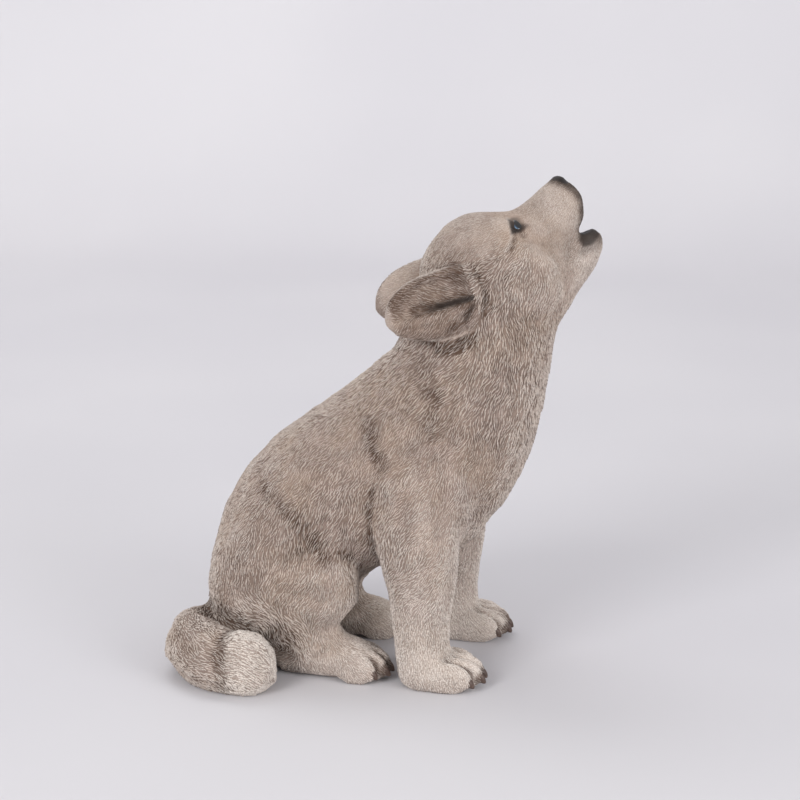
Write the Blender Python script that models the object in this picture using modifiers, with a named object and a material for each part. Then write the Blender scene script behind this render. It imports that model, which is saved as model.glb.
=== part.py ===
"""Howling wolf pup, sitting: one casting with a flat underside.

Metres, +Z up. The pup faces +X and its mid-plane is XZ. Outlines and widths are
hand-chosen stations in millimetres. Overlapping lofts and balls give the flesh,
which is remeshed into one skin. Eyes, mouth and ear cups are then cut or joined,
and the ground trims the underside flat.
"""
import math

import bmesh
import bpy
from mathutils import Matrix, Vector
from mathutils.bvhtree import BVHTree
from mathutils.kdtree import KDTree

MM = 0.001
NAME = "wolf_pup"

# Skin
SKIN_VOXEL = 1.3 * MM
GUIDE_VOXEL = 2.6 * MM
SKIN_SMOOTHING_PASSES = 4
SKIN_TRIANGLES = 9300
SHORTEST_EDGE = 0.03 * MM
FINE_AREA_SHARE = 0.5
FINE_REACH_SHARE = 0.8
STATION_STEPS = 4
RING_SIDES = 40
EAR_RING_SIDES = 16
BALL_SEGMENTS = 32
EYE_SEGMENTS = 16
DETAIL_SEGMENTS = 14
SMALL_SEGMENTS = 8

# Torso: outline of back and belly on the mid-plane, and half the width there.
# Each row is back x, back z, belly x, belly z, half width.
TORSO_STATIONS = (
    (-90, 4, -52, -8, 22),
    (-94, 22, -42, -5, 34),
    (-94, 44, -34, 4, 42),
    (-90, 68, -22, 26, 46),
    (-81, 91, -14, 43, 47),
    (-65, 113, -3, 52, 46),
    (-43, 131, 17, 57, 43),
    (-21, 147, 42, 64, 41),
    (-5, 160, 60, 88, 39.5),
    (4, 168, 73, 116, 38),
    (8.5, 176, 80, 146, 36),
    (11, 187, 84, 171, 34),
    (15, 200, 88, 188, 30),
)
SHOULDER_WIDTH = 90 * MM
SHOULDER_RADII = (23 * MM, 22.5 * MM, 39 * MM)
SHOULDER_PLACE = (27 * MM, 96 * MM)
SHOULDER_LEAN = math.radians(14)

# Head: its own frame has +X along the muzzle, +Y to the pup's left, +Z to the crown.
HEAD_PIVOT = (30 * MM, 0.0)
HEAD_REACH = 16 * MM
HEAD_RISE = 204 * MM
HEAD_TURN = math.radians(17)
HEAD_TILT = math.radians(40)
HEAD_ROLL = math.radians(-6)
# Each row is distance along the muzzle, top, bottom, half width.
SKULL_STATIONS = (
    (-26, 12, -30, 18),
    (-15, 25, -40, 28),
    (0, 30.5, -45, 33.5),
    (12, 31, -45, 35),
    (22, 27, -43, 33),
    (31, 19.3, -41, 27.5),
    (39, 13.2, -37, 20.5),
    (47, 5, -30, 11),
)
SNOUT_STATIONS = (
    (28, 20, -22, 25),
    (38, 14.5, -20, 20.5),
    (47, 13.5, -18.5, 17),
    (56, 13.8, -16, 14.8),
    (62.5, 13.4, -12.5, 12.8),
    (67, 10, -7, 10),
    (69.6, 5.5, -2.5, 6),
)
JAW_STATIONS = (
    (28, -14, -41, 21),
    (40, -15, -38, 17.5),
    (51, -17, -35.5, 14),
    (59, -18, -31.5, 11),
    (64, -19.5, -26.5, 7),
)
CHEEK_WIDTH = 76 * MM
CHEEK_RADII = (23 * MM, 15.2 * MM, 23 * MM)
CHEEK_PLACE = (14 * MM, -12 * MM)
BROW_SPACING = 27 * MM
BROW_RADII = (12 * MM, 10.5 * MM, 9.5 * MM)
BROW_PLACE = (21 * MM, 12 * MM)
EYE_DIAMETER = 12.4 * MM
EYE_SPACING = 21.6 * MM
EYE_PLACE = (31.2 * MM, 7.8 * MM)
EYE_FORWARD = math.radians(17)
EYE_UPWARD = math.radians(18)
EYE_SLANT = math.radians(35)
EYELID = 1.2 * MM
EYE_OPENING = (9.4 * MM, 7 * MM, 6.4 * MM)
EYE_OPENING_FORWARD = 1.2 * MM
SOCKET_RADII = (7.5 * MM, 5.5 * MM, 9.5 * MM)
SOCKET_FORWARD = 4 * MM
SOCKET_OUT = 11.8 * MM
NOSE_WIDTH = 13 * MM
NOSE_HEIGHT = 10 * MM
NOSE_LENGTH = 9 * MM
NOSE_PLACE = (64.4 * MM, 9.3 * MM)
NOSTRIL_DIAMETER = 3.2 * MM
NOSTRIL_SPACING = 6.4 * MM
NOSTRIL_SET_IN = 0.6 * MM
MUZZLE_REACH = 40 * MM
MOUTH_WIDTH = 14 * MM
MOUTH_HEIGHT = 7 * MM
MOUTH_DEPTH = 10 * MM
MOUTH_PLACE = (60.5 * MM, -15.8 * MM)

# Ears, laid back along the neck with their cups facing sideways. An ear's frame
# starts at its root: +X to the tip, +Y to the pup's right, +Z across the ear.
# Each row is distance from the root, top, bottom, half depth.
EAR_STATIONS = (
    (2, 6, -6, 5),
    (6, 12, -15, 7),
    (12, 14.2, -20, 8.5),
    (20, 14.5, -20.3, 9),
    (29, 14.5, -19.4, 8.6),
    (37, 13.3, -17.5, 7.6),
    (44, 10.2, -13.8, 6),
    (49.5, 5.6, -9.6, 4.2),
    (52.8, -1, -4, 2),
)
# The cup takes the upper half of the ear, down to a fold along its middle.
EAR_CUP_STATIONS = (
    (6.5, 7, -4, 3),
    (12, 12.3, -5.4, 7),
    (20, 12.8, -4.8, 8.5),
    (29, 12.7, -3.8, 8.5),
    (37, 11.5, -3.6, 7.4),
    (44, 8.3, -6, 5.6),
    (48.6, 3.5, -7, 3.6),
    (50.8, -1.5, -4, 1.6),
)
EAR_CUP_SHIFT = 7.2 * MM
EAR_FOLD_RADII = (8.5 * MM, 3.6 * MM, 1.5 * MM)
EAR_FOLD_PLACE = (15.3 * MM, 8 * MM, -11.8 * MM)
EAR_FOLD_DROOP = math.radians(26)
EAR_ROOT = (1 * MM, 32.5 * MM, 2 * MM)
EAR_RISE = math.radians(20)
EAR_LEAN_IN = math.radians(3)

# Front legs: each row is height, forward from the paw's wrist, half width, half depth.
FRONT_LEG_STATIONS = (
    (126, -8, 4, 8),
    (120, -7, 9, 15),
    (104, -5, 15, 22),
    (84, -3, 17, 22),
    (62, 0, 16, 19.5),
    (46, 0.5, 14.5, 16.5),
    (31, 0.5, 13.5, 14.8),
    (18, 1.5, 13.8, 14),
    (6, 4, 15, 15),
)
FRONT_STANCE = 80 * MM
SHOULDER_STANCE = 62 * MM
FRONT_WRIST = 26 * MM
FRONT_STAGGER = 6 * MM
FRONT_PAW_WIDTH = 34 * MM
FRONT_PAW_LENGTH = 44 * MM
FRONT_PAW_HEIGHT = 20 * MM
FRONT_PAW_REACH = 11.5 * MM
# The back of a front paw: radii, setback and rise as shares of the paw's sizes.
PAW_BACK_SHARES = (0.36, 0.47, 0.6)
PAW_BACK_SETBACK = 0.16
PAW_BACK_RISE = 0.37

# Hind legs: haunch, thigh and a long foot flat on the ground
HAUNCH_WIDTH = 102 * MM
HAUNCH_RADII = (36 * MM, 26 * MM, 44 * MM)
HAUNCH_PLACE = (-54 * MM, 50 * MM)
HAUNCH_LEAN = math.radians(12)
THIGH_WIDTH = 104 * MM
THIGH_RADII = (29 * MM, 19 * MM, 28 * MM)
THIGH_PLACE = (-38 * MM, 50 * MM)
THIGH_LEAN = math.radians(-20)
SHIN_RADII = (17 * MM, 13 * MM, 22 * MM)
SHIN_PLACE = (-36 * MM, 24 * MM)
SHIN_LEAN = math.radians(-35)
HIND_STANCE = 66 * MM
HIND_HEEL = -52 * MM
HIND_FOOT_LENGTH = 59.5 * MM
HIND_FOOT_HEIGHT = 22 * MM
HIND_PAW_WIDTH = 30 * MM
HIND_TOES_LENGTH = 37 * MM
HIND_TOES_HEIGHT = 19.5 * MM
HIND_SPLAY = math.radians(7)
# Each row is a share of the foot's length behind the toe tips, then middle height,
# half width and half height as shares of the paw's width and the foot's height.
HIND_FOOT_STATIONS = (
    (1.0, 0.45, 0.31, 0.45),
    (0.7, 0.49, 0.41, 0.5),
    (0.38, 0.47, 0.45, 0.49),
    (0.2, 0.36, 0.46, 0.37),
)

# Toes and claws
TOE_COUNT = 4
TOE_LENGTH_SHARE = 0.6
TOE_WIDTH_SHARE = 1.0
TOE_HEIGHT_SHARE = 0.44
TOE_SINK_SHARE = 0.86
TOE_STEP_BACK = 5 * MM
CLAW_RADII = (3.8 * MM, 2.4 * MM, 2.6 * MM)
CLAW_SET_IN = 1.9 * MM
CLAW_HEIGHT = 5.6 * MM
CLAW_DROOP = math.radians(48)

# Tail, round to the pup's right: x, y, z, half width, half height.
TAIL_STATIONS = (
    (-70, 6, 14, 13, 14),
    (-86, -8, 13.5, 14.5, 15),
    (-96, -26, 13, 14.5, 16),
    (-91, -44, 13, 15.5, 17),
    (-79, -56, 12.5, 16.5, 17),
    (-66, -61, 11.5, 15, 15),
    (-56, -62, 11, 10, 11),
    (-52, -62, 11, 4, 5),
)
TAIL_TUFT_RADII = (15.5 * MM, 16.5 * MM, 17.5 * MM)
TAIL_TUFT_PLACE = (-63.5 * MM, -62 * MM, 14 * MM)
TAIL_TUFT_LEAN = math.radians(-14)

# Fur clumps, in rows laid on the skin: start, end, where the fur points.
CLUMP_SPACING = 10 * MM
CLUMP_STAGGER = 0.25
CLUMP_LENGTH = 24 * MM
CLUMP_WIDTH = 9.5 * MM
CLUMP_LIFT = 2 * MM
CLUMP_TAPER = 0.55
CLUMP_TILT = math.radians(9)
CLUMP_ROWS = (
    ((86, -32, 178), (90, 30, 178), (-0.1, 0.0, -1.0)),
    ((85, -34, 166), (89, 32, 166), (-0.1, 0.0, -1.0)),
    ((84, -36, 154), (88, 34, 154), (-0.1, 0.0, -1.0)),
    ((82, -36, 142), (86, 36, 142), (-0.2, 0.0, -1.0)),
    ((80, -36, 130), (83, 35, 130), (-0.3, 0.0, -1.0)),
    ((76, -34, 118), (79, 33, 118), (-0.4, 0.0, -1.0)),
    ((70, -30, 106), (73, 29, 106), (-0.5, 0.0, -1.0)),
    ((62, -22, 95), (64, 22, 95), (-0.7, 0.0, -1.0)),
    ((-112, -20, 30), (-84, -72, 30), (0.2, -0.8, -0.5)),
    ((-114, -32, 14), (-82, -78, 14), (0.4, -0.8, -0.3)),
)

GROUND_DEPTH = 30 * MM


def clear_scene():
    for old in list(bpy.data.objects):
        bpy.data.objects.remove(old)


def new_collection(name):
    group = bpy.data.collections.new(name)
    bpy.context.scene.collection.children.link(group)
    return group


def painted_resin():
    """Grey-brown paint, nearly matt."""
    material = bpy.data.materials.new("painted_resin")
    material.use_nodes = True
    shader = material.node_tree.nodes["Principled BSDF"]
    shader.inputs["Base Color"].default_value = (0.39, 0.32, 0.27, 1.0)
    shader.inputs["Roughness"].default_value = 0.8
    shader.inputs["Metallic"].default_value = 0.0
    return material


def add_object(name, bm, group):
    mesh = bpy.data.meshes.new(name)
    bm.to_mesh(mesh)
    bm.free()
    item = bpy.data.objects.new(name, mesh)
    group.objects.link(item)
    return item


def face_outward(bm):
    """A closed mesh's faces all point out."""
    bmesh.ops.recalc_face_normals(bm, faces=bm.faces)
    if bm.calc_volume(signed=True) < 0:
        bmesh.ops.reverse_faces(bm, faces=bm.faces)


def smooth_rows(rows):
    """The rows, with more between them on a smooth curve through all of them."""
    padded = [rows[0], *rows, rows[-1]]
    result = []
    for first in range(len(rows) - 1):
        before, start, end, after = padded[first:first + 4]
        for step in range(STATION_STEPS):
            t = step / STATION_STEPS
            result.append([
                0.5 * (2 * b + (c - a) * t + (2 * a - 5 * b + 4 * c - d) * t ** 2
                       + (3 * b - a - 3 * c + d) * t ** 3)
                for a, b, c, d in zip(before, start, end, after)
            ])
    result.append(list(rows[-1]))
    return result


def loft(name, rings, group, place=Matrix(), sides=RING_SIDES):
    """Closed skin over oval rings. A ring is its centre, half its width, half its height."""
    bm = bmesh.new()
    angles = [math.tau * i / sides for i in range(sides)]
    loops = []
    for centre, side, up in rings:
        loops.append([bm.verts.new(centre + side * math.cos(a) + up * math.sin(a)) for a in angles])
    for low, high in zip(loops, loops[1:]):
        for i in range(sides):
            j = (i + 1) % sides
            bm.faces.new((low[i], low[j], high[j], high[i]))
    bm.faces.new(loops[0])
    bm.faces.new(loops[-1])
    bm.transform(place)
    face_outward(bm)
    return add_object(name, bm, group)


def ball(name, centre, radii, group, place=Matrix(), turn=Matrix(), segments=BALL_SEGMENTS,
         taper=0.0):
    """An ellipsoid; a taper above 0 narrows it toward its +X end."""
    bm = bmesh.new()
    bmesh.ops.create_uvsphere(bm, u_segments=segments, v_segments=segments // 2, radius=1.0)
    for vertex in bm.verts:
        vertex.co.yz *= 1.0 - taper * vertex.co.x
    bm.transform(place @ Matrix.Translation(centre) @ turn @ Matrix.Diagonal((*radii, 1.0)))
    face_outward(bm)
    return add_object(name, bm, group)


def profile_rings(stations):
    """Rings that stand across the mid-plane, from rows of distance, top, bottom, half width."""
    rings = []
    for along, top, bottom, half in smooth_rows(stations):
        centre = Vector((along, 0.0, (top + bottom) / 2)) * MM
        side = Vector((0.0, half, 0.0)) * MM
        up = Vector((0.0, 0.0, (top - bottom) / 2)) * MM
        rings.append((centre, side, up))
    return rings


def path_rings(stations, up_hint):
    """Rings across a path, from rows of x, y, z, half width, half height in metres."""
    rows = smooth_rows(stations)
    rings = []
    for i, row in enumerate(rows):
        ahead = Vector(rows[min(i + 1, len(rows) - 1)][:3])
        behind = Vector(rows[max(i - 1, 0)][:3])
        along = (ahead - behind).normalized()
        side = up_hint.cross(along).normalized()
        up = along.cross(side)
        rings.append((Vector(row[:3]), side * row[3], up * row[4]))
    return rings


def head_matrix():
    forward = Vector((math.cos(HEAD_TURN), math.sin(HEAD_TURN), 0.0)) * HEAD_REACH
    place = Vector((HEAD_PIVOT[0], HEAD_PIVOT[1], HEAD_RISE)) + forward
    turn = Matrix.Rotation(HEAD_TURN, 4, "Z") @ Matrix.Rotation(-HEAD_TILT, 4, "Y")
    return Matrix.Translation(place) @ turn @ Matrix.Rotation(HEAD_ROLL, 4, "X")


def add_torso(group):
    rings = []
    for back_x, back_z, belly_x, belly_z, half in smooth_rows(TORSO_STATIONS):
        back = Vector((back_x, 0.0, back_z)) * MM
        belly = Vector((belly_x, 0.0, belly_z)) * MM
        rings.append(((back + belly) / 2, Vector((0.0, half, 0.0)) * MM, (back - belly) / 2))
    loft("torso", rings, group)
    for side in (-1, 1):
        y = side * (SHOULDER_WIDTH / 2 - SHOULDER_RADII[1])
        ball("shoulder", (SHOULDER_PLACE[0], y, SHOULDER_PLACE[1]), SHOULDER_RADII, group,
             turn=Matrix.Rotation(SHOULDER_LEAN, 4, "Y"))


def add_head(group):
    place = head_matrix()
    loft("skull", profile_rings(SKULL_STATIONS), group, place)
    loft("snout", profile_rings(SNOUT_STATIONS), group, place)
    loft("jaw", profile_rings(JAW_STATIONS), group, place)
    for side in (-1, 1):
        cheek_y = side * (CHEEK_WIDTH / 2 - CHEEK_RADII[1])
        ball("cheek", (CHEEK_PLACE[0], cheek_y, CHEEK_PLACE[1]), CHEEK_RADII, group, place)
        brow = (BROW_PLACE[0], side * BROW_SPACING / 2, BROW_PLACE[1])
        ball("brow", brow, BROW_RADII, group, place)
        loft("ear", profile_rings(EAR_STATIONS), group, ear_matrix(side))


def eye_matrix(side):
    """Frame at the middle of an eyeball: +X along the lids to the nose, Y through the pupil."""
    place = Vector((EYE_PLACE[0], side * EYE_SPACING / 2, EYE_PLACE[1]))
    turn = Matrix.Rotation(-side * EYE_FORWARD, 4, "Z") @ Matrix.Rotation(side * EYE_UPWARD, 4, "X")
    return head_matrix() @ Matrix.Translation(place) @ turn @ Matrix.Rotation(EYE_SLANT, 4, "Y")


def ear_matrix(side):
    """Frame at an ear's root."""
    root = Vector((EAR_ROOT[0], side * EAR_ROOT[1], EAR_ROOT[2]))
    turn = Matrix.Rotation(EAR_RISE, 4, "Y") @ Matrix.Rotation(math.pi + side * EAR_LEAN_IN, 4, "Z")
    return head_matrix() @ Matrix.Translation(root) @ turn


def ear_cutters(side, group):
    """The ear's cup, and the short fold under it."""
    place = ear_matrix(side)
    shift = Matrix.Translation((0.0, -side * EAR_CUP_SHIFT, 0.0))
    rings = profile_rings(EAR_CUP_STATIONS)
    cup = loft("ear_cutter", rings, group, place @ shift, EAR_RING_SIDES)
    fold_place = (EAR_FOLD_PLACE[0], -side * EAR_FOLD_PLACE[1], EAR_FOLD_PLACE[2])
    fold = ball("fold_cutter", fold_place, EAR_FOLD_RADII, group, place,
                Matrix.Rotation(EAR_FOLD_DROOP, 4, "Y"), DETAIL_SEGMENTS)
    return [cup, fold]


def toe_places():
    """How many toe widths each toe is off the paw's middle, and how far it is set back."""
    offsets = [index - (TOE_COUNT - 1) / 2 for index in range(TOE_COUNT)]
    return [(offset, TOE_STEP_BACK if abs(offset) > 1 else 0.0) for offset in offsets]


def add_toes(group, place, width, length, height):
    """Toes with claws, side by side at the front of a paw whose frame is on the ground."""
    pitch = width / TOE_COUNT
    half = pitch / 2 * TOE_WIDTH_SHARE
    radii = (length * TOE_LENGTH_SHARE / 2, half, height * TOE_HEIGHT_SHARE)
    for offset, setback in toe_places():
        x = length / 2 - radii[0] - setback
        ball("toe", (x, offset * pitch, radii[2] * TOE_SINK_SHARE), radii, group, place)
        claw = (length / 2 - setback - CLAW_SET_IN, offset * pitch, CLAW_HEIGHT)
        ball("claw", claw, CLAW_RADII, group, place, Matrix.Rotation(CLAW_DROOP, 4, "Y"))


def front_paw_matrix(side):
    x = FRONT_WRIST + side * FRONT_STAGGER / 2 + FRONT_PAW_REACH
    return Matrix.Translation((x, side * FRONT_STANCE / 2, 0.0))


def hind_paw_matrix(side):
    turn = Matrix.Rotation(side * HIND_SPLAY, 4, "Z")
    heel_y = (HIND_STANCE - HIND_FOOT_LENGTH * math.sin(HIND_SPLAY)) / 2
    heel = Vector((HIND_HEEL, side * heel_y, 0.0))
    return Matrix.Translation(heel) @ turn @ Matrix.Translation((HIND_FOOT_LENGTH, 0.0, 0.0))


def hind_toes_matrix(side):
    return hind_paw_matrix(side) @ Matrix.Translation((-HIND_TOES_LENGTH / 2, 0.0, 0.0))


def add_front_leg(side, group):
    x = FRONT_WRIST + side * FRONT_STAGGER / 2
    top = FRONT_LEG_STATIONS[0][0]
    rows = []
    for height, forward, half_width, half_depth in FRONT_LEG_STATIONS:
        lean = height / top
        stance = FRONT_STANCE + (SHOULDER_STANCE - FRONT_STANCE) * lean ** 2
        place = (x + forward * MM, side * stance / 2, height * MM)
        rows.append((*place, half_width * MM, half_depth * MM))
    loft("front_leg", path_rings(rows, Vector((1.0, 0.0, 0.0))), group)
    paw = front_paw_matrix(side)
    sizes = (FRONT_PAW_LENGTH, FRONT_PAW_WIDTH, FRONT_PAW_HEIGHT)
    radii = tuple(size * share for size, share in zip(sizes, PAW_BACK_SHARES))
    back = (-FRONT_PAW_LENGTH * PAW_BACK_SETBACK, 0.0, FRONT_PAW_HEIGHT * PAW_BACK_RISE)
    ball("paw", back, radii, group, paw)
    add_toes(group, paw, FRONT_PAW_WIDTH, FRONT_PAW_LENGTH, FRONT_PAW_HEIGHT)


def add_hind_leg(side, group):
    haunch_y = side * (HAUNCH_WIDTH / 2 - HAUNCH_RADII[1])
    ball("haunch", (HAUNCH_PLACE[0], haunch_y, HAUNCH_PLACE[1]), HAUNCH_RADII, group,
         turn=Matrix.Rotation(HAUNCH_LEAN, 4, "Y"))
    thigh_y = side * (THIGH_WIDTH / 2 - THIGH_RADII[1])
    ball("thigh", (THIGH_PLACE[0], thigh_y, THIGH_PLACE[1]), THIGH_RADII, group,
         turn=Matrix.Rotation(THIGH_LEAN, 4, "Y"))
    ball("shin", (SHIN_PLACE[0], side * HIND_STANCE / 2, SHIN_PLACE[1]), SHIN_RADII, group,
         turn=Matrix.Rotation(SHIN_LEAN, 4, "Y"))
    paw = hind_paw_matrix(side)
    rows = []
    for behind, middle, half_width, half_height in HIND_FOOT_STATIONS:
        rows.append((-HIND_FOOT_LENGTH * behind, 0.0, HIND_FOOT_HEIGHT * middle,
                     HIND_PAW_WIDTH * half_width, HIND_FOOT_HEIGHT * half_height))
    loft("foot", path_rings(rows, Vector((0.0, 0.0, 1.0))), group, paw)
    add_toes(group, hind_toes_matrix(side), HIND_PAW_WIDTH, HIND_TOES_LENGTH, HIND_TOES_HEIGHT)


def add_tail(group):
    rows = [tuple(value * MM for value in row) for row in TAIL_STATIONS]
    loft("tail", path_rings(rows, Vector((0.0, 0.0, 1.0))), group)
    ball("tail_tuft", TAIL_TUFT_PLACE, TAIL_TUFT_RADII, group,
         turn=Matrix.Rotation(TAIL_TUFT_LEAN, 4, "Y"))


def joined(name, group):
    """One object from all of a collection's meshes."""
    bm = bmesh.new()
    for item in list(group.objects):
        bm.from_mesh(item.data)
        bpy.data.objects.remove(item)
    return add_object(name, bm, group)


def apply_modifiers(item):
    """The object keeps the mesh that its modifiers give it."""
    evaluated = item.evaluated_get(bpy.context.evaluated_depsgraph_get())
    mesh = bpy.data.meshes.new_from_object(evaluated)
    item.modifiers.clear()
    item.data = mesh


def remesh(item, voxel):
    modifier = item.modifiers.new("skin", "REMESH")
    modifier.mode = "VOXEL"
    modifier.voxel_size = voxel
    apply_modifiers(item)


def outer_skin(flesh, group):
    """A search tree over the outer skin of overlapping shapes."""
    guide = flesh.copy()
    group.objects.link(guide)
    remesh(guide, GUIDE_VOXEL)
    tree = BVHTree.FromObject(guide, bpy.context.evaluated_depsgraph_get())
    bpy.data.objects.remove(guide)
    return tree


def add_clumps(flesh, group):
    """Rows of clumps, each lying on the skin with its tip lifted off it; returns where they are."""
    skin = outer_skin(flesh, group)
    radii = (CLUMP_LENGTH / 2, CLUMP_WIDTH / 2, CLUMP_LIFT)
    places = []
    for row, (start, end, flow) in enumerate(CLUMP_ROWS):
        first = Vector(start) * MM
        last = Vector(end) * MM
        count = max(2, round((last - first).length / CLUMP_SPACING))
        stagger = CLUMP_STAGGER if row % 2 else -CLUMP_STAGGER
        for index in range(count):
            guess = first.lerp(last, (index + 0.5 + stagger) / count)
            point, normal, _, _ = skin.find_nearest(guess)
            along = Vector(flow) - normal * Vector(flow).dot(normal)
            along.normalize()
            side = normal.cross(along)
            turn = Matrix((along, side, normal)).transposed().to_4x4()
            turn = turn @ Matrix.Rotation(-CLUMP_TILT, 4, "Y")
            ball("clump", point, radii, group, turn=turn, segments=DETAIL_SEGMENTS, taper=CLUMP_TAPER)
            places.append(point)
    return places


def fine_spots(clumps):
    """Places that keep more triangles, and how far each reaches: face, ears, paws and clumps."""
    head = head_matrix()
    ear_length = EAR_STATIONS[-1][0] * MM
    spots = [(place, CLUMP_LENGTH * FINE_REACH_SHARE) for place in clumps]
    spots.append((head @ Vector((NOSE_PLACE[0], 0.0, 0.0)), MUZZLE_REACH))
    for side in (-1, 1):
        spots.append((eye_matrix(side).translation, EYE_DIAMETER * 2))
        ear_middle = ear_matrix(side) @ Vector((ear_length / 2, 0.0, 0.0))
        spots.append((ear_middle, ear_length * FINE_REACH_SHARE))
        spots.append((front_paw_matrix(side).translation, FRONT_PAW_LENGTH))
        spots.append((hind_paw_matrix(side).translation, HIND_TOES_LENGTH))
    return spots


def fine_weights(item, spots):
    """Vertex weights that rise toward the nearest spot."""
    tree = KDTree(len(spots))
    for index, (place, _) in enumerate(spots):
        tree.insert(place, index)
    tree.balance()
    fine = item.vertex_groups.new(name="fine")
    for vertex in item.data.vertices:
        _, index, distance = tree.find(vertex.co)
        fine.add([vertex.index], max(0.0, 1.0 - distance / spots[index][1]), "REPLACE")


def thin_out(item, spots):
    """Fewer triangles, with more of them kept near the spots."""
    fine_weights(item, spots)
    item.data.calc_loop_triangles()
    modifier = item.modifiers.new("thin_out", "DECIMATE")
    modifier.decimate_type = "COLLAPSE"
    modifier.ratio = SKIN_TRIANGLES / len(item.data.loop_triangles)
    modifier.vertex_group = "fine"
    modifier.invert_vertex_group = True
    modifier.vertex_group_factor = FINE_AREA_SHARE
    modifier.use_collapse_triangulate = True
    apply_modifiers(item)


def close_tiny_edges(mesh):
    """Edges too short to matter go, and so do faces that then lie back to back."""
    bm = bmesh.new()
    bm.from_mesh(mesh)
    bmesh.ops.dissolve_degenerate(bm, dist=SHORTEST_EDGE, edges=bm.edges)
    corners = {}
    for face in bm.faces:
        corners.setdefault(frozenset(face.verts), []).append(face)
    doubled = [face for faces in corners.values() if len(faces) > 1 for face in faces]
    bmesh.ops.delete(bm, geom=doubled, context="FACES")
    bm.to_mesh(mesh)
    bm.free()


def combine(body, tools, operation):
    """Cut all of the tools from the body, or join them to it, and close up tiny edges."""
    batch = bpy.data.collections.new("batch")
    for tool in tools:
        batch.objects.link(tool)
        tool.hide_render = True
        tool.display_type = "WIRE"
    modifier = body.modifiers.new(operation.lower(), "BOOLEAN")
    modifier.operation = operation
    modifier.solver = "EXACT"
    modifier.operand_type = "COLLECTION"
    modifier.collection = batch
    apply_modifiers(body)
    bpy.data.collections.remove(batch)
    close_tiny_edges(body.data)


def face_cutters(group):
    """What is cut from the face: the mouth, hollows for the eyes, lid openings and ears."""
    mouth = (MOUTH_DEPTH / 2, MOUTH_WIDTH / 2, MOUTH_HEIGHT / 2)
    place = (MOUTH_PLACE[0], 0.0, MOUTH_PLACE[1])
    cutters = [ball("mouth_cutter", place, mouth, group, head_matrix(), segments=DETAIL_SEGMENTS)]
    opening = tuple(size / 2 for size in EYE_OPENING)
    for side in (-1, 1):
        eye = eye_matrix(side)
        hollow = (SOCKET_FORWARD, side * SOCKET_OUT, 0.0)
        lids = (EYE_OPENING_FORWARD, side * (EYE_DIAMETER / 2 + EYELID), 0.0)
        cutters.append(ball("socket_cutter", hollow, SOCKET_RADII, group, eye, segments=EYE_SEGMENTS))
        cutters.append(ball("eye_cutter", lids, opening, group, eye, segments=DETAIL_SEGMENTS))
        cutters.extend(ear_cutters(side, group))
    return cutters


def nostril_cutters(group):
    radii = (NOSTRIL_DIAMETER / 2,) * 3
    x = NOSE_PLACE[0] + NOSE_LENGTH / 2 - NOSTRIL_SET_IN
    return [ball("nostril_cutter", (x, side * NOSTRIL_SPACING / 2, NOSE_PLACE[1]), radii, group,
                 head_matrix(), segments=SMALL_SEGMENTS)
            for side in (-1, 1)]


def face_details(group):
    """What is added to the face: the nose and the eyeballs."""
    nose = (NOSE_PLACE[0], 0.0, NOSE_PLACE[1])
    radii = (NOSE_LENGTH / 2, NOSE_WIDTH / 2, NOSE_HEIGHT / 2)
    eyeball = (EYE_DIAMETER / 2,) * 3
    items = [ball("nose", nose, radii, group, head_matrix(), segments=EYE_SEGMENTS)]
    for side in (-1, 1):
        items.append(ball("eyeball", (0.0, 0.0, 0.0), eyeball, group, eye_matrix(side),
                          segments=EYE_SEGMENTS))
    return items


def ground_cutter(group):
    """Everything below the ground plane, which comes off to leave flat soles."""
    bm = bmesh.new()
    bmesh.ops.create_cube(bm, size=1.0)
    low = Matrix.Translation((0.0, 0.0, -GROUND_DEPTH / 2))
    bm.transform(low @ Matrix.Diagonal((1.0, 1.0, GROUND_DEPTH, 1.0)))
    return add_object("ground_cutter", bm, group)


def centre_on_origin(body, cutters):
    """The origin goes to the bottom centre of the body's bounding box."""
    xs = [vertex.co.x for vertex in body.data.vertices]
    ys = [vertex.co.y for vertex in body.data.vertices]
    shift = Vector((-(min(xs) + max(xs)) / 2, -(min(ys) + max(ys)) / 2, 0.0))
    for item in (body, *cutters.objects):
        item.data.transform(Matrix.Translation(shift))


def main():
    clear_scene()
    parts = new_collection("howling_wolf_pup")
    cutters = new_collection("cutters")
    add_torso(parts)
    add_head(parts)
    for side in (-1, 1):
        add_front_leg(side, parts)
        add_hind_leg(side, parts)
    add_tail(parts)
    flesh = joined("flesh", parts)
    clumps = add_clumps(flesh, parts)
    body = joined(NAME, parts)
    remesh(body, SKIN_VOXEL)
    smooth = body.modifiers.new("smooth", "SMOOTH")
    smooth.iterations = SKIN_SMOOTHING_PASSES
    thin_out(body, fine_spots(clumps))
    combine(body, face_cutters(cutters), "DIFFERENCE")
    combine(body, face_details(cutters), "UNION")
    combine(body, [*nostril_cutters(cutters), ground_cutter(cutters)], "DIFFERENCE")
    centre_on_origin(body, cutters)
    body.data.materials.clear()
    body.data.materials.append(painted_resin())
    body.data.shade_smooth()


main()
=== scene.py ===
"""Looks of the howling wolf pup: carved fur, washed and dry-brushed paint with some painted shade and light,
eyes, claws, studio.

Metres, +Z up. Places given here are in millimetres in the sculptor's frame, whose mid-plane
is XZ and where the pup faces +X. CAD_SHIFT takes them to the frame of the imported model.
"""
import math

import bmesh
import bpy
import numpy as np
from mathutils import Matrix, Vector, noise
from mathutils.bvhtree import BVHTree
from mathutils.kdtree import KDTree


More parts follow.
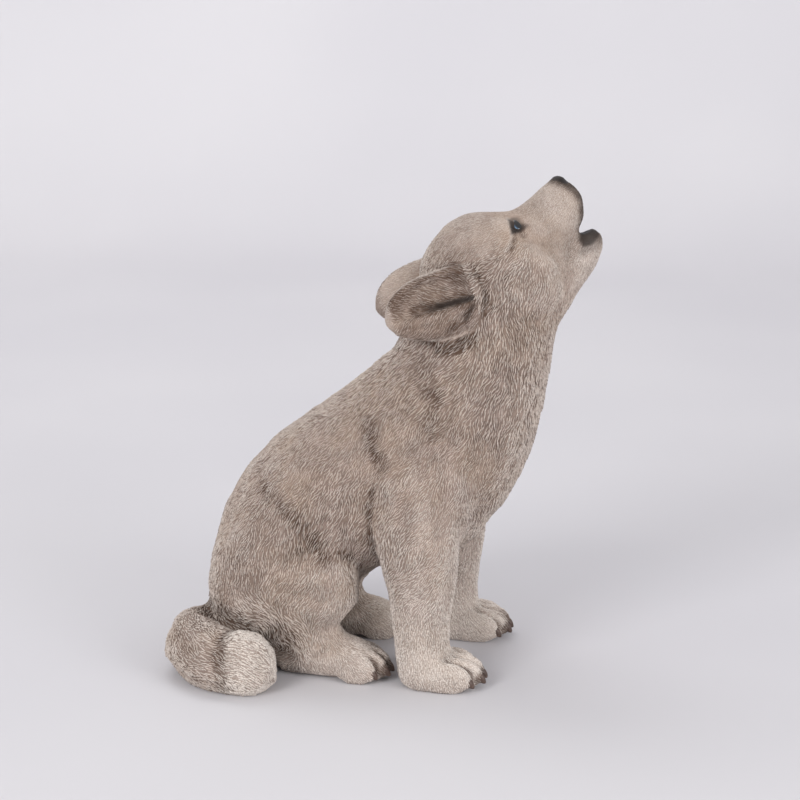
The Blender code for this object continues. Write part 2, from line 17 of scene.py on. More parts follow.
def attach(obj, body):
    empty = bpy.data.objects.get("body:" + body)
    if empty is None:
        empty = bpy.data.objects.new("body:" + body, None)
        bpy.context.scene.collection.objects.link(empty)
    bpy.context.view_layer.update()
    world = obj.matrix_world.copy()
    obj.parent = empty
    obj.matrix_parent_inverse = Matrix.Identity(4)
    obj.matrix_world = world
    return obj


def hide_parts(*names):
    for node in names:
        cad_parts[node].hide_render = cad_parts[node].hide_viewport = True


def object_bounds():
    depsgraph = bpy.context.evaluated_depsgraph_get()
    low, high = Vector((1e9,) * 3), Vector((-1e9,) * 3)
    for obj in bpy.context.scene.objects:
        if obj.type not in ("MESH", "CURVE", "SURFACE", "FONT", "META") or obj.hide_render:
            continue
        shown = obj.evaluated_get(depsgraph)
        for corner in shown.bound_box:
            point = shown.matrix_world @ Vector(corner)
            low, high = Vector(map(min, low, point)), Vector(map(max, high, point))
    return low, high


MM = 0.001
NODE = "wolf_pup"
SEED = 7
CAD_SHIFT = Vector((0.89, 10.72, 0.0)) * MM

# Camera, at the photograph's place
CAMERA_AZIMUTH = math.radians(8)
CAMERA_DISTANCE = 1180 * MM
CAMERA_HEIGHT = 430 * MM
CAMERA_TARGET = Vector((7.0, 0.0, 140.5)) * MM
CAMERA_LENS = 105.0
CAMERA_SENSOR = 36.0

# Head: its own frame has +X along the muzzle, +Y to the pup's left, +Z to the crown.
HEAD_PIVOT = (30 * MM, 0.0)
HEAD_REACH = 16 * MM
HEAD_RISE = 204 * MM
HEAD_TURN = math.radians(17)
HEAD_TILT = math.radians(40)
HEAD_ROLL = math.radians(-6)
EYE_DIAMETER = 12.4 * MM
EYE_SPACING = 21.6 * MM
EYE_PLACE = (31.2 * MM, 7.8 * MM)
EYE_FORWARD = math.radians(17)
EYE_UPWARD = math.radians(18)
EYE_SLANT = math.radians(35)
EYE_GLAZE = 0.06 * MM
EYE_SEGMENTS = (48, 32)
# Where an eye looks, in its own frame: forward, out and up. It also sets where the painted glint shows.
GAZE = (0.6, 1.0, 0.45)
# Dark nose and mouth in the head's frame: middle and radii.
NOSE_PLACE = (64.4, 0.0, 9.6)
NOSE_RADII = (5.4, 7.4, 5.4)
MOUTH_PLACE = (60.5, 0.0, -16.0)
MOUTH_RADII = (6.0, 7.8, 4.2)
# The dark lower lip seen from the side: x and z, round the outline.
LOWER_LIP = ((57.5, -15), (53.5, -18.5), (52.4, -21.8), (57, -24), (61.5, -23.8), (67, -21.5), (67, -15.5))
# The front of the muzzle seen from the side: height and distance forward.
MUZZLE_FRONT = (
    (-31, 61), (-22, 64.5), (-16, 60), (-10, 64.1),
    (-3.2, 69.3), (2.4, 70), (8.5, 68.3), (15, 64),
)
# The dark lids of an eye seen from the side, in the head's frame: x and z, round the outline.
EYE_ALMOND = ((32.4, 14.4), (28.9, 9.5), (32.6, 7.0), (38.0, 6.3))
# The ridge of the temple behind an eye, in the head's frame: x and z. A pale line on it is dry brush and
# painted highlight, and a dark line just in front of it is painted shadow.
TEMPLE_RIDGE = ((33.0, 16.5), (32.2, 14.3), (30.7, 11.4), (28.6, 9.5), (26.2, 7.9), (23.1, 6.8), (19.7, 5.9))

# Ears. An ear's frame starts at its root: +X to the tip, +Y to the pup's right, +Z across the ear.
# Each row is distance from the root, top, bottom, half depth.
EAR_STATIONS = (
    (2, 6, -6, 5),
    (6, 12, -15, 7),
    (12, 14.2, -20, 8.5),
    (20, 14.5, -20.3, 9),
    (29, 14.5, -19.4, 8.6),
    (37, 13.3, -17.5, 7.6),
    (44, 10.2, -13.8, 6),
    (49.5, 5.6, -9.6, 4.2),
    (52.8, -1, -4, 2),
)
EAR_ROOT = (1 * MM, 32.5 * MM, 2 * MM)
EAR_RISE = math.radians(20)
EAR_LEAN_IN = math.radians(3)
EAR_MARGIN = 1.3
EAR_START = 6.0
# Dark folds in an ear: places along and across it.
EAR_MAIN_FOLD = ((6, -4.4), (20, -3.4), (35, -1.4))
EAR_LOW_FOLD = ((8.6, -8.5), (14, -13.4), (23, -15.5))

# Paws and claws
FRONT_STANCE = 80 * MM
FRONT_WRIST = 26 * MM
FRONT_STAGGER = 6 * MM
FRONT_PAW_WIDTH = 34 * MM
FRONT_PAW_LENGTH = 44 * MM
FRONT_PAW_REACH = 11.5 * MM
HIND_STANCE = 66 * MM
HIND_HEEL = -52 * MM
HIND_FOOT_LENGTH = 59.5 * MM
HIND_PAW_WIDTH = 30 * MM
HIND_TOES_LENGTH = 37 * MM
HIND_SPLAY = math.radians(7)
TOE_COUNT = 4
TOE_STEP_BACK = 5 * MM
CLAW_RADII = (3.4 * MM, 1.7 * MM, 2.1 * MM)
CLAW_SET_IN = 1.2 * MM
CLAW_HEIGHT = 5.6 * MM
CLAW_DROOP = math.radians(48)
CLAW_TAPER = 0.3
CLAW_SEGMENTS = (16, 12)

# Tail: x, y, z, half width, half height.
TAIL_STATIONS = (
    (-70, 6, 14, 13, 14),
    (-86, -8, 13.5, 14.5, 15),
    (-96, -26, 13, 14.5, 16),
    (-91, -44, 13, 15.5, 17),
    (-79, -56, 12.5, 16.5, 17),
    (-66, -61, 11.5, 15, 15),
)
# The cream tuft at the tail's end: its guides stand in rings along it, and their fur fans out.
TAIL_TUFT_PLACE = (-63.5, -62, 14)
TAIL_TUFT_RADII = (15.5, 16.5, 17.5)
TUFT_GUIDES = 8
TUFT_SHARES = (-0.3, 0.3, 0.8)
TUFT_FAN = 0.022
TAIL_DROOP = Vector((0.0, 0.0, -0.35))
# Dark crease along the top of the tail: x, y, z.
TAIL_CREASE = ((-96, -12, 32), (-88, -30, 33), (-78, -42, 33), (-66, -48, 28), (-52, -50, 12))

# Skin
SKIN_VOXEL = 1.34 * MM
SKIN_SMOOTHING = 3
BODY_SMOOTHING = 10
# Hollows are where the skin lies under its relaxed self, by this depth for a full wash.
CAVITY_STEPS = 45
CAVITY_DEPTH = 0.7 * MM

# Comb guides of the left side, mirrored to the right: place, direction of the fur,
# and length, width and lift of its strokes.
BODY_GUIDES = (
    (0, 0, 174, -0.75, 0, -0.65, 6.0, 1.3, 0.55),
    (-20, 0, 150, -0.8, 0, -0.6, 4.8, 1.1, 0.40),
    (-60, 0, 118, -0.7, 0, -0.7, 4.4, 1.0, 0.32),
    (-85, 0, 85, -0.35, 0, -0.95, 4.6, 1.05, 0.36),
    (-95, 0, 50, -0.1, 0, -1.0, 5.5, 1.2, 0.46),
    (-96, 0, 28, -0.3, 0, -0.95, 5.5, 1.2, 0.48),
    (-20, 38, 135, -0.6, 0.1, -0.8, 4.0, 0.95, 0.30),
    (-50, 42, 105, -0.4, 0, -0.9, 4.0, 0.95, 0.30),
    (-75, 40, 85, -0.25, 0, -0.95, 4.2, 1.0, 0.32),
    (0, 40, 120, -0.45, 0, -0.9, 4.0, 0.95, 0.30),
    (-10, 42, 95, -0.35, 0, -0.95, 4.8, 1.1, 0.38),
    (-35, 46, 80, -0.25, 0, -1.0, 5.2, 1.15, 0.44),
    (-60, 50, 72, -0.2, 0, -1.0, 5.2, 1.15, 0.42),
    (-45, 52, 50, -0.6, 0, -0.8, 4.4, 1.0, 0.34),
    (-80, 42, 45, -0.15, 0, -1.0, 4.8, 1.1, 0.40),
    (-20, 46, 55, -0.3, 0, -0.95, 4.0, 0.95, 0.30),
    (-55, 50, 25, -0.8, 0, -0.55, 4.8, 1.05, 0.42),
    (-22, 45, 30, -0.6, 0, -0.8, 3.6, 0.9, 0.28),
    (-50, 40, 10, -0.9, 0, -0.3, 3.6, 0.9, 0.26),
    (-20, 38, 22, 0.6, 0, -0.6, 3.8, 0.95, 0.28),
    (-2, 36, 14, 0.9, 0, -0.4, 3.4, 0.9, 0.21),
    (-25, 48, 10, 0.3, 0, -0.95, 3.6, 0.92, 0.24),
    (0, 0, 56, -0.9, 0, -0.3, 4.5, 1.05, 0.36),
    (-5, 30, 58, -0.6, 0, -0.8, 5.2, 1.15, 0.46),
    (72, 0, 182, -0.1, 0, -1.0, 4.6, 1.1, 0.42),
    (84, 0, 165, 0, 0, -1.0, 6.0, 1.3, 0.60),
    (80, 0, 140, -0.1, 0, -1.0, 6.2, 1.35, 0.66),
    (72, 0, 112, -0.4, 0, -0.9, 5.6, 1.25, 0.56),
    (58, 0, 88, -0.7, 0, -0.7, 4.8, 1.1, 0.40),
    (70, 30, 165, -0.3, 0, -0.95, 5.6, 1.25, 0.52),
    (62, 34, 140, -0.35, 0, -0.95, 5.4, 1.2, 0.48),
    (35, 38, 170, -0.75, 0, -0.65, 5.6, 1.25, 0.50),
    (25, 42, 150, -0.65, 0, -0.75, 4.8, 1.15, 0.44),
    (30, 44, 120, -0.5, 0, -0.85, 4.0, 1.0, 0.32),
    (55, 36, 110, -0.5, 0, -0.85, 4.0, 1.0, 0.32),
    (28, 44, 85, -0.55, 0, -0.8, 3.8, 0.95, 0.28),
    (8, 42, 75, -0.4, 0, -0.9, 5.2, 1.15, 0.46),
    (27, 44, 55, -0.55, 0, -0.8, 4.0, 0.95, 0.31),
    (27, 42, 30, -0.35, 0, -0.95, 3.9, 0.95, 0.29),
    (42, 40, 45, -0.5, 0, -0.9, 3.9, 0.95, 0.29),
    (38, 40, 20, 0.5, 0, -0.8, 3.7, 0.95, 0.26),
    (54, 40, 12, 0.85, 0, -0.5, 3.2, 0.88, 0.19),
    (35, 56, 8, 0.2, 0, -1.0, 3.6, 0.95, 0.26),
)
HEAD_GUIDES = (
    (55, 0, 14, -1, 0, 0.05, 2.4, 0.85, 0.10),
    (50, 14, 2, -1, 0, -0.25, 2.6, 0.9, 0.12),
    (48, 14, -10, -0.95, 0, -0.4, 2.8, 0.9, 0.13),
    (55, 0, -32, -0.95, 0, -0.2, 2.8, 0.9, 0.13),
    (40, 16, -28, -0.9, 0, -0.45, 3.4, 0.9, 0.18),
    (30, 10, 20, -0.95, 0, 0.35, 2.6, 0.8, 0.13),
    (15, 0, 31, -1, 0, 0.1, 2.9, 0.82, 0.17),
    (15, 20, 24, -1, 0, 0.0, 2.9, 0.82, 0.17),
    (-5, 0, 30, -1, 0, -0.1, 3.6, 0.9, 0.25),
    (-22, 0, 20, -0.8, 0, -0.6, 5.2, 1.15, 0.44),
    (10, 28, 15, -0.95, 0.1, -0.1, 3.2, 0.85, 0.20),
    (32, 18, -3, -0.8, 0.1, -0.6, 3.0, 0.82, 0.16),
    (15, 34, -12, -0.65, 0, -0.75, 4.4, 1.0, 0.34),
    (5, 37, 8, -0.9, 0, 0.1, 5.2, 1.15, 0.55),
    (5, 38, -6, -0.9, 0, -0.3, 5.8, 1.2, 0.60),
    (4, 37, -20, -0.6, 0, -0.8, 5.4, 1.15, 0.50),
    (-5, 35, -26, -0.5, 0, -0.85, 5.2, 1.1, 0.44),
    (20, 28, -32, -0.8, 0, -0.6, 4.6, 1.0, 0.32),
    (20, 0, -44, -1, 0, -0.1, 5.2, 1.15, 0.38),
)
TAIL_STROKE = (5.2, 1.2, 0.48)
EAR_BACK_STROKE = (2.8, 0.8, 0.24)
EAR_INNER_STROKE = (3.2, 0.8, 0.28)
GUIDE_BLUR = 6 * MM

# Fur locks, and how many times they cover the skin
LOCK_OVERLAP = 2.05
# Candidates for each root that is kept, and how close two roots may be, as a share of a stroke.
ROOT_TRIES = 1.9
ROOT_GAP = 0.80
# How much the length, width and lift of the strokes vary, as shares.
LENGTH_SPREAD = 0.25
WIDTH_SPREAD = 0.2
LIFT_SPREAD = 0.3
# The fur's direction wanders over this distance and by this angle, and each lock strays.
SWIRL_SIZE = 9 * MM
SWIRL = math.radians(38)
LOCK_STRAY = math.radians(8)
LOCK_SINK = 0.16 * MM
# Length, width and lift of the strokes, as shares of the guides' values.
STROKE_GAIN = (0.82, 0.74, 1.5)
GROUND_CLEAR = 0.4 * MM

# Shares of the length at each section, then width and lift there as shares.
LOCK_SHAPE = ((0.0, 0.28, 0.7, 1.0), (0.0, 1.0, 0.85, 0.0), (0.0, 0.75, 1.0, 1.1))
# Paint at a lock's root, at left, ridge and right of both sections, and at its tip.
LOCK_GROOVE = (1.0, 0.9, 0.05, 0.9, 0.8, 0.0, 0.8, 0.0)
LOCK_CREST = (0.0, 0.0, 0.6, 0.0, 0.0, 1.0, 0.0, 1.0)
# The finest locks take this share of the coarse ones' paint.
FINE_LOCK_PAINT = 0.42
# Wash in the grooves of a lock, and over all of a dull one.
GROOVE_WASH = 0.80
DULL_WASH = 0.30
# Brush on the crest of a dull lock, and what a bright one has more.
CREST_BRUSH = (0.15, 0.6)
# Wash of the skin between fine locks, and what it has more between coarse ones.
GAP_WASH = (0.28, 0.42)
# Corners of a lock's triangles.
LOCK_FACES = (
    (0, 1, 2), (0, 2, 3), (0, 3, 1),
    (1, 4, 2), (4, 5, 2), (2, 5, 3), (5, 6, 3), (1, 3, 4), (3, 6, 4),
    (4, 7, 5), (5, 7, 6), (4, 6, 7),
)
# Dark spots: middle and radii. The hock and the nape are in the body's frame; the last, wash and painted
# shadow under each ear, is in an ear's.
HOCK_SPOT = ((-53, 47, 21), (15, 12, 13))
NAPE_SPOT = ((6, 0, 176), (9, 34, 8))
EAR_SHADOW_SPOT = ((23, -4, -23.5), (13, 12, 6))
# Soft dark folds in the fur of each side: x and z of their corners, reach and strength.
FUR_FOLDS = (
    (((-14, 150), (-5, 134), (2, 116)), 8.0, 0.40),
    (((-68, 104), (-52, 96), (-36, 83), (-24, 66)), 7.0, 0.35),
    (((20, 166), (30, 150), (28, 132)), 8.0, 0.25),
)

# Paint, as sRGB values out of 255
BASE_PAINT = (188, 169, 158)
WARM_PAINT = (191, 170, 154)
# The wash colour also paints shade, and the brush colour also paints highlights and light.
WASH_AND_SHADE_PAINT = (80, 60, 48)
BRUSH_AND_LIGHT_PAINT = (230, 221, 213)
SOOT_PAINT = (34, 27, 24)
CLAW_PAINT = (78, 60, 52)
CLAW_WORN_PAINT = (124, 103, 92)
PAPER_PAINT = (210, 208, 212)
PAPER_CLOUD_PAINT = (216, 214, 217)
# Paint of an eye from its middle outward: share of a quarter turn, and colour. The pale blue-white band is a
# painted glint, and the dark outside it is partly painted shadow of the lids.
IRIS_GLINT_AND_LID_SHADE_PAINTS = (
    (0.39, (10, 10, 12)),
    (0.45, (52, 74, 98)),
    (0.53, (134, 164, 186)),
    (0.61, (186, 204, 214)),
    (0.66, (28, 26, 28)),
)

# Studio, in metres
PAPER_HALF_WIDTH = 3.0
PAPER_FRONT = -3.0
PAPER_BACK = 1.6
PAPER_HEIGHT = 2.4
PAPER_BEND = 0.5
PAPER_BEND_STEPS = 16
ROOM_COLOUR = (0.98, 0.98, 1.0, 1.0)
ROOM_STRENGTH = 0.62
# Each lamp has a place, a target, a size and watts.
LAMPS = (
    ("key", (-1.1, -2.1, 1.15), (0, 0, 0.12), 1.2, 32.0),
    ("fill", (1.8, -1.3, 0.65), (0, 0, 0.12), 1.4, 23.0),
    ("backdrop", (-0.6, 0.8, 1.7), (-0.3, 1.1, 0.0), 1.2, 8.0),
)


def linear(colour):
    """Scene-linear RGBA of an sRGB colour out of 255."""
    values = []
    for channel in colour:
        c = channel / 255
        values.append(c / 12.92 if c <= 0.04045 else ((c + 0.055) / 1.055) ** 2.4)
    return (*values, 1.0)


def smooth_step(value, low, high):
    t = np.clip((value - low) / (high - low), 0.0, 1.0)
    return t * t * (3 - 2 * t)


def unit(vectors):
    return vectors / np.maximum(np.linalg.norm(vectors, axis=-1, keepdims=True), 1e-12)


def shifted(matrix):
    return Matrix.Translation(CAD_SHIFT) @ matrix


def head_matrix():
    forward = Vector((math.cos(HEAD_TURN), math.sin(HEAD_TURN), 0.0)) * HEAD_REACH
    place = Vector((*HEAD_PIVOT, HEAD_RISE)) + forward
    turn = Matrix.Rotation(HEAD_TURN, 4, "Z") @ Matrix.Rotation(-HEAD_TILT, 4, "Y")
    return shifted(Matrix.Translation(place) @ turn @ Matrix.Rotation(HEAD_ROLL, 4, "X"))


def eye_matrix(side):
    place = Vector((EYE_PLACE[0], side * EYE_SPACING / 2, EYE_PLACE[1]))
    turn = Matrix.Rotation(-side * EYE_FORWARD, 4, "Z") @ Matrix.Rotation(side * EYE_UPWARD, 4, "X")
    return head_matrix() @ Matrix.Translation(place) @ turn @ Matrix.Rotation(EYE_SLANT, 4, "Y")


def ear_matrix(side):
    root = Vector((EAR_ROOT[0], side * EAR_ROOT[1], EAR_ROOT[2]))
    turn = Matrix.Rotation(EAR_RISE, 4, "Y") @ Matrix.Rotation(math.pi + side * EAR_LEAN_IN, 4, "Z")
    return head_matrix() @ Matrix.Translation(root) @ turn


def front_paw_matrix(side):
    x = FRONT_WRIST + side * FRONT_STAGGER / 2 + FRONT_PAW_REACH
    return shifted(Matrix.Translation((x, side * FRONT_STANCE / 2, 0.0)))


def hind_toes_matrix(side):
    turn = Matrix.Rotation(side * HIND_SPLAY, 4, "Z")
    heel_y = (HIND_STANCE - HIND_FOOT_LENGTH * math.sin(HIND_SPLAY)) / 2
    heel = Matrix.Translation((HIND_HEEL, side * heel_y, 0.0))
    return shifted(heel @ turn @ Matrix.Translation((HIND_FOOT_LENGTH - HIND_TOES_LENGTH / 2, 0.0, 0.0)))


def paws():
    """Frame, width and length of the toes of each paw."""
    for side in (-1, 1):
        yield front_paw_matrix(side), FRONT_PAW_WIDTH, FRONT_PAW_LENGTH
        yield hind_toes_matrix(side), HIND_PAW_WIDTH, HIND_TOES_LENGTH


def toe_places():
    """How many toe widths each toe is off the paw's middle, and how far it is set back."""
    offsets = [index - (TOE_COUNT - 1) / 2 for index in range(TOE_COUNT)]
    return [(offset, TOE_STEP_BACK if abs(offset) > 1 else 0.0) for offset in offsets]


def ball_distance(points, centre, radii):
    """Distance from an ellipsoid's middle, 1 on its skin."""
    return np.linalg.norm((points - np.array(centre)) / np.array(radii), axis=1)


def beyond_outline(points, corners):
    """How far points lie outside a convex outline in their plane, below 0 inside it."""
    corners = np.array(corners, float)
    gaps = []
    for start, end in zip(corners, np.roll(corners, -1, 0)):
        x, z = (end - start) / np.linalg.norm(end - start)
        gaps.append((points - start) @ np.array((z, -x)))
    return np.max(gaps, 0)


def line_distance(points, corners):
    """Distance from a line through the corners."""
    nearest = np.full(len(points), np.inf)
    corners = np.array(corners, float)
    for start, end in zip(corners, corners[1:]):
        along = end - start
        share = np.clip((points - start) @ along / (along @ along), 0, 1)
        gap = np.linalg.norm(points - start - share[:, None] * along, axis=1)
        nearest = np.minimum(nearest, gap)
    return nearest


def local(matrix, points):
    """The points in a matrix's own frame, in millimetres."""
    back = np.array(matrix.inverted())
    return (points @ back[:3, :3].T + back[:3, 3]) / MM


def new_piece(name, mesh):
    """A visible piece of the casting."""
    piece = bpy.data.objects.new(name, mesh)
    bpy.context.scene.collection.objects.link(piece)
    return piece


def finish_piece(piece, material):
    piece.data.materials.clear()
    piece.data.materials.append(material)
    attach(piece, "root")
    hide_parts(NODE)


def apply_modifiers(piece):
    evaluated = piece.evaluated_get(bpy.context.evaluated_depsgraph_get())
    mesh = bpy.data.meshes.new_from_object(evaluated)
    piece.modifiers.clear()
    piece.data = mesh


def mesh_arrays(mesh):
    """Points, vertex normals, triangles and edges of a mesh."""
    points = np.empty(len(mesh.vertices) * 3)
    mesh.vertices.foreach_get("co", points)
    normals = np.empty(len(mesh.vertices) * 3)
    mesh.vertex_normals.foreach_get("vector", normals)
    mesh.calc_loop_triangles()
    triangles = np.empty(len(mesh.loop_triangles) * 3, np.int64)
    mesh.loop_triangles.foreach_get("vertices", triangles)
    edges = np.empty(len(mesh.edges) * 2, np.int64)
    mesh.edges.foreach_get("vertices", edges)
    return points.reshape(-1, 3), normals.reshape(-1, 3), triangles.reshape(-1, 3), edges.reshape(-1, 2)


def relax(values, edges, steps):
    """Values moved to the mean of their neighbours, several times."""
    first, second = edges.T
    count = np.bincount(first, minlength=len(values)) + np.bincount(second, minlength=len(values))
    for _ in range(steps):
        total = np.empty_like(values)
        for axis in range(values.shape[1]):
            total[:, axis] = (np.bincount(first, values[second, axis], len(values))
                              + np.bincount(second, values[first, axis], len(values)))
        values = (values + total / count[:, None]) / 2
    return values


def set_attribute(mesh, name, values):
    layer = mesh.attributes.new(name, "FLOAT", "POINT")
    layer.data.foreach_set("value", values.astype(np.float32))


def fine_skin():
    """The casting's mesh, remade in small even faces."""
    skin = new_piece("casting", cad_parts[NODE].data.copy())
    bm = bmesh.new()
    bm.from_mesh(skin.data)
    bmesh.ops.remove_doubles(bm, verts=bm.verts, dist=1e-6)
    bm.to_mesh(skin.data)
    bm.free()
    remesh = skin.modifiers.new("even_faces", "REMESH")
    remesh.mode = "VOXEL"
    remesh.voxel_size = SKIN_VOXEL
    apply_modifiers(skin)
    points, normals, _, edges = mesh_arrays(skin.data)
    face = local(head_matrix(), points)
    keep = smooth_step(face[:, 0], 12, 34)
    keep = np.maximum(keep, smooth_step(-points[:, 2] / MM, -24, -14))
    keep = np.maximum(keep, ear_zone(points, normals)[0] != 0)[:, None]
    soft = relax(points, edges, SKIN_SMOOTHING)
    softer = relax(soft, edges, BODY_SMOOTHING)
    mixed = soft * keep + softer * (1 - keep)
    skin.data.vertices.foreach_set("co", mixed.ravel())
    skin.data.update()
    skin.data.shade_smooth()
    return skin


def comb_guides():
    """Places, directions and stroke sizes of all comb guides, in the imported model's frame."""
    places, flows, strokes = [], [], []
    for table, matrix in ((BODY_GUIDES, shifted(Matrix())), (HEAD_GUIDES, head_matrix())):
        for x, y, z, dx, dy, dz, *stroke in table:
            for side in (1, -1) if y else (1,):
                places.append(matrix @ (Vector((x, side * y, z)) * MM))
                flows.append(matrix.to_3x3() @ Vector((dx, side * dy, dz)))
                strokes.append(stroke)
    for before, here, after in zip(TAIL_STATIONS, TAIL_STATIONS[1:], TAIL_STATIONS[2:]):
        along = (Vector(after[:3]) - Vector(before[:3])).normalized()
        out = along.cross(Vector((0, 0, 1))).normalized()
        for side_share, up_share in ((0, 1), (0.7, 0.7), (1, 0), (-0.7, 0.7)):
            offset = out * side_share * here[3] + Vector((0, 0, 1)) * up_share * here[4]
            places.append((Vector(here[:3]) + offset) * MM + CAD_SHIFT)
            flows.append(along + TAIL_DROOP)
            strokes.append(TAIL_STROKE)
    for step in range(TUFT_GUIDES):
        angle = math.tau * step / TUFT_GUIDES
        around = Vector((0.0, math.cos(angle) * TAIL_TUFT_RADII[1], math.sin(angle) * TAIL_TUFT_RADII[2]))
        for along in TUFT_SHARES:
            spread = math.sqrt(1 - along ** 2)
            offset = Vector((along * TAIL_TUFT_RADII[0], 0.0, 0.0)) + around * spread
            places.append((Vector(TAIL_TUFT_PLACE) + offset) * MM + CAD_SHIFT)
            flows.append(Vector((1.0, 0.0, 0.0)) + TAIL_DROOP + around * TUFT_FAN)
            strokes.append(TAIL_STROKE)
    return np.array(places), unit(np.array(flows)), np.array(strokes) * STROKE_GAIN


def ear_zone(points, normals):
    """Per point: its ear (0, 1 or -1), its place in that ear's frame, how near it is to the rim
    from the ear's middle line, and how much it faces out of the head."""
    along, top, bottom, depth = np.array(EAR_STATIONS, float).T
    zone = np.zeros(len(points))
    place = np.zeros((len(points), 3))
    edge = np.zeros(len(points))
    facing = np.zeros(len(points))
    for side in (1, -1):
        matrix = ear_matrix(side)
        spot = local(matrix, points)
        high = np.interp(spot[:, 0], along, top)
        low = np.interp(spot[:, 0], along, bottom)
        across = np.abs(spot[:, 2] - (high + low) / 2) / ((high - low) / 2 + EAR_MARGIN)
        deep = np.abs(spot[:, 1]) / (np.interp(spot[:, 0], along, depth) + EAR_MARGIN)
        inside = (across < 1) & (deep < 1)
        inside &= (spot[:, 0] > EAR_START) & (spot[:, 0] < along[-1] + EAR_MARGIN)
        zone[inside] = side
        place[inside] = spot[inside]
        edge[inside] = np.maximum(across, spot[:, 0] / (along[-1] + EAR_MARGIN))[inside]
        facing[inside] = (normals @ np.array(matrix.to_3x3())[:, 1] * -side)[inside]
    return zone, place, edge, facing


def comb(points, normals):
    """Direction of the fur along the skin, and its stroke sizes in millimetres, at each point."""
    flows = np.empty_like(points)
    strokes = np.empty_like(points)
    places, directions, sizes = guides
    for start in range(0, len(points), 20000):
        part = points[start:start + 20000]
        gap = ((part[:, None] - places[None]) ** 2).sum(2)
        weight = 1 / (gap + GUIDE_BLUR ** 2) ** 2
        weight /= weight.sum(1, keepdims=True)
        flows[start:start + 20000] = weight @ directions
        strokes[start:start + 20000] = weight @ sizes
    zone, place, _, facing = ear_zone(points, normals)
    for side in (1, -1):
        turn = np.array(ear_matrix(side).to_3x3())
        mine = zone == side
        fan = place[:, 2:3] / EAR_STATIONS[3][1]
        back = np.concatenate([np.ones_like(fan), np.zeros_like(fan), fan * 0.35], 1)
        cup = np.concatenate([np.full_like(fan, 0.8), np.zeros_like(fan), np.sign(fan + 0.2) * 0.6], 1)
        inner = mine & (facing > 0.1)
        outer = mine & ~inner
        flows[outer] = back[outer] @ turn.T
        strokes[outer] = EAR_BACK_STROKE
        flows[inner] = cup[inner] @ turn.T
        strokes[inner] = EAR_INNER_STROKE
    flows -= normals * (flows * normals).sum(1, keepdims=True)
    return unit(flows), strokes


def face_masks(points, brush_and_light, wash_and_shade):
    """Brush, wash and soot on the muzzle, mouth and eyes, with painted shade on the crown and a painted
    highlight and shadow at each temple.
    """
    face = local(head_matrix(), points)
    x, y, z = face.T
    flat = face[:, [0, 2]]
    muzzle = smooth_step(x, 30, 48)
    brush_and_light = brush_and_light + 0.12 * muzzle + 0.12 * smooth_step(x, 26, 44) * smooth_step(-z, 4, 16)
    wash_and_shade = wash_and_shade * (1 - 0.8 * muzzle) + 0.30 * muzzle
    # The crown is darkened: painted shade.
    crown = smooth_step(z, 10, 22) * smooth_step(x, -34, -22) * smooth_step(-x, -36, -26)
    wash_and_shade = wash_and_shade + 0.20 * crown
    heights, fronts = np.array(MUZZLE_FRONT, float).T
    set_in = np.interp(z, heights, fronts) - x
    strip = smooth_step(-set_in, -7.5, -0.8) * smooth_step(z, -32, -21)
    soot = 0.55 * strip ** 1.5
    pad = ball_distance(face, NOSE_PLACE, NOSE_RADII)
    ahead = (x - 62.5) * 0.86 + (z - 14.5) * 0.51
    soot = np.maximum(soot, smooth_step(-pad, -1.22, -0.95) * smooth_step(ahead, -0.7, 0.7))
    soot = np.maximum(soot, smooth_step(-ball_distance(face, MOUTH_PLACE, MOUTH_RADII), -1.25, -0.8))
    nub = beyond_outline(flat, LOWER_LIP)
    soot = np.maximum(soot, 0.88 * smooth_step(-nub, -1.6, 1.0))
    soot = np.maximum(soot, 0.45 * smooth_step(-nub, -6.5, -0.5) * smooth_step(-z, 19, 23))
    lip = smooth_step(-np.abs(z + 13.0), -3.2, -0.6) * smooth_step(x, 54, 60)
    soot = np.maximum(soot, 0.7 * lip)
    side_face = smooth_step(np.abs(y), 8, 13)
    # A pale line on the temple ridge, dry brush and painted highlight, and a painted shadow just in front of
    # it.
    ridge = line_distance(flat, TEMPLE_RIDGE)
    brush_and_light = brush_and_light + 0.6 * smooth_step(-ridge, -1.4, -0.3) * side_face
    ridge_shadow = line_distance(flat - (2.2, -0.8), TEMPLE_RIDGE[2:])
    dark = np.maximum(0.85 * strip, 0.40 * smooth_step(-ridge_shadow, -2.0, -0.6) * side_face)
    wash_and_shade = np.maximum(wash_and_shade, dark)
    brush_and_light = brush_and_light * (1 - dark)
    for side in (1, -1):
        eye = local(eye_matrix(side), points)
        gap = np.linalg.norm(eye, axis=1)
        radius = EYE_DIAMETER / MM / 2
        lids = smooth_step(-gap, -radius - 1.4, -radius - 0.2) * smooth_step(eye[:, 1] * side, 1.0, 4.0)
        soot = np.maximum(soot, 0.6 * lids)
    almond = smooth_step(-beyond_outline(flat, EYE_ALMOND), -1.2, 0.3) * side_face
    soot = np.maximum(soot, almond * (0.92 - 0.45 * smooth_step(x, 34, 38)))
    return brush_and_light, wash_and_shade, soot


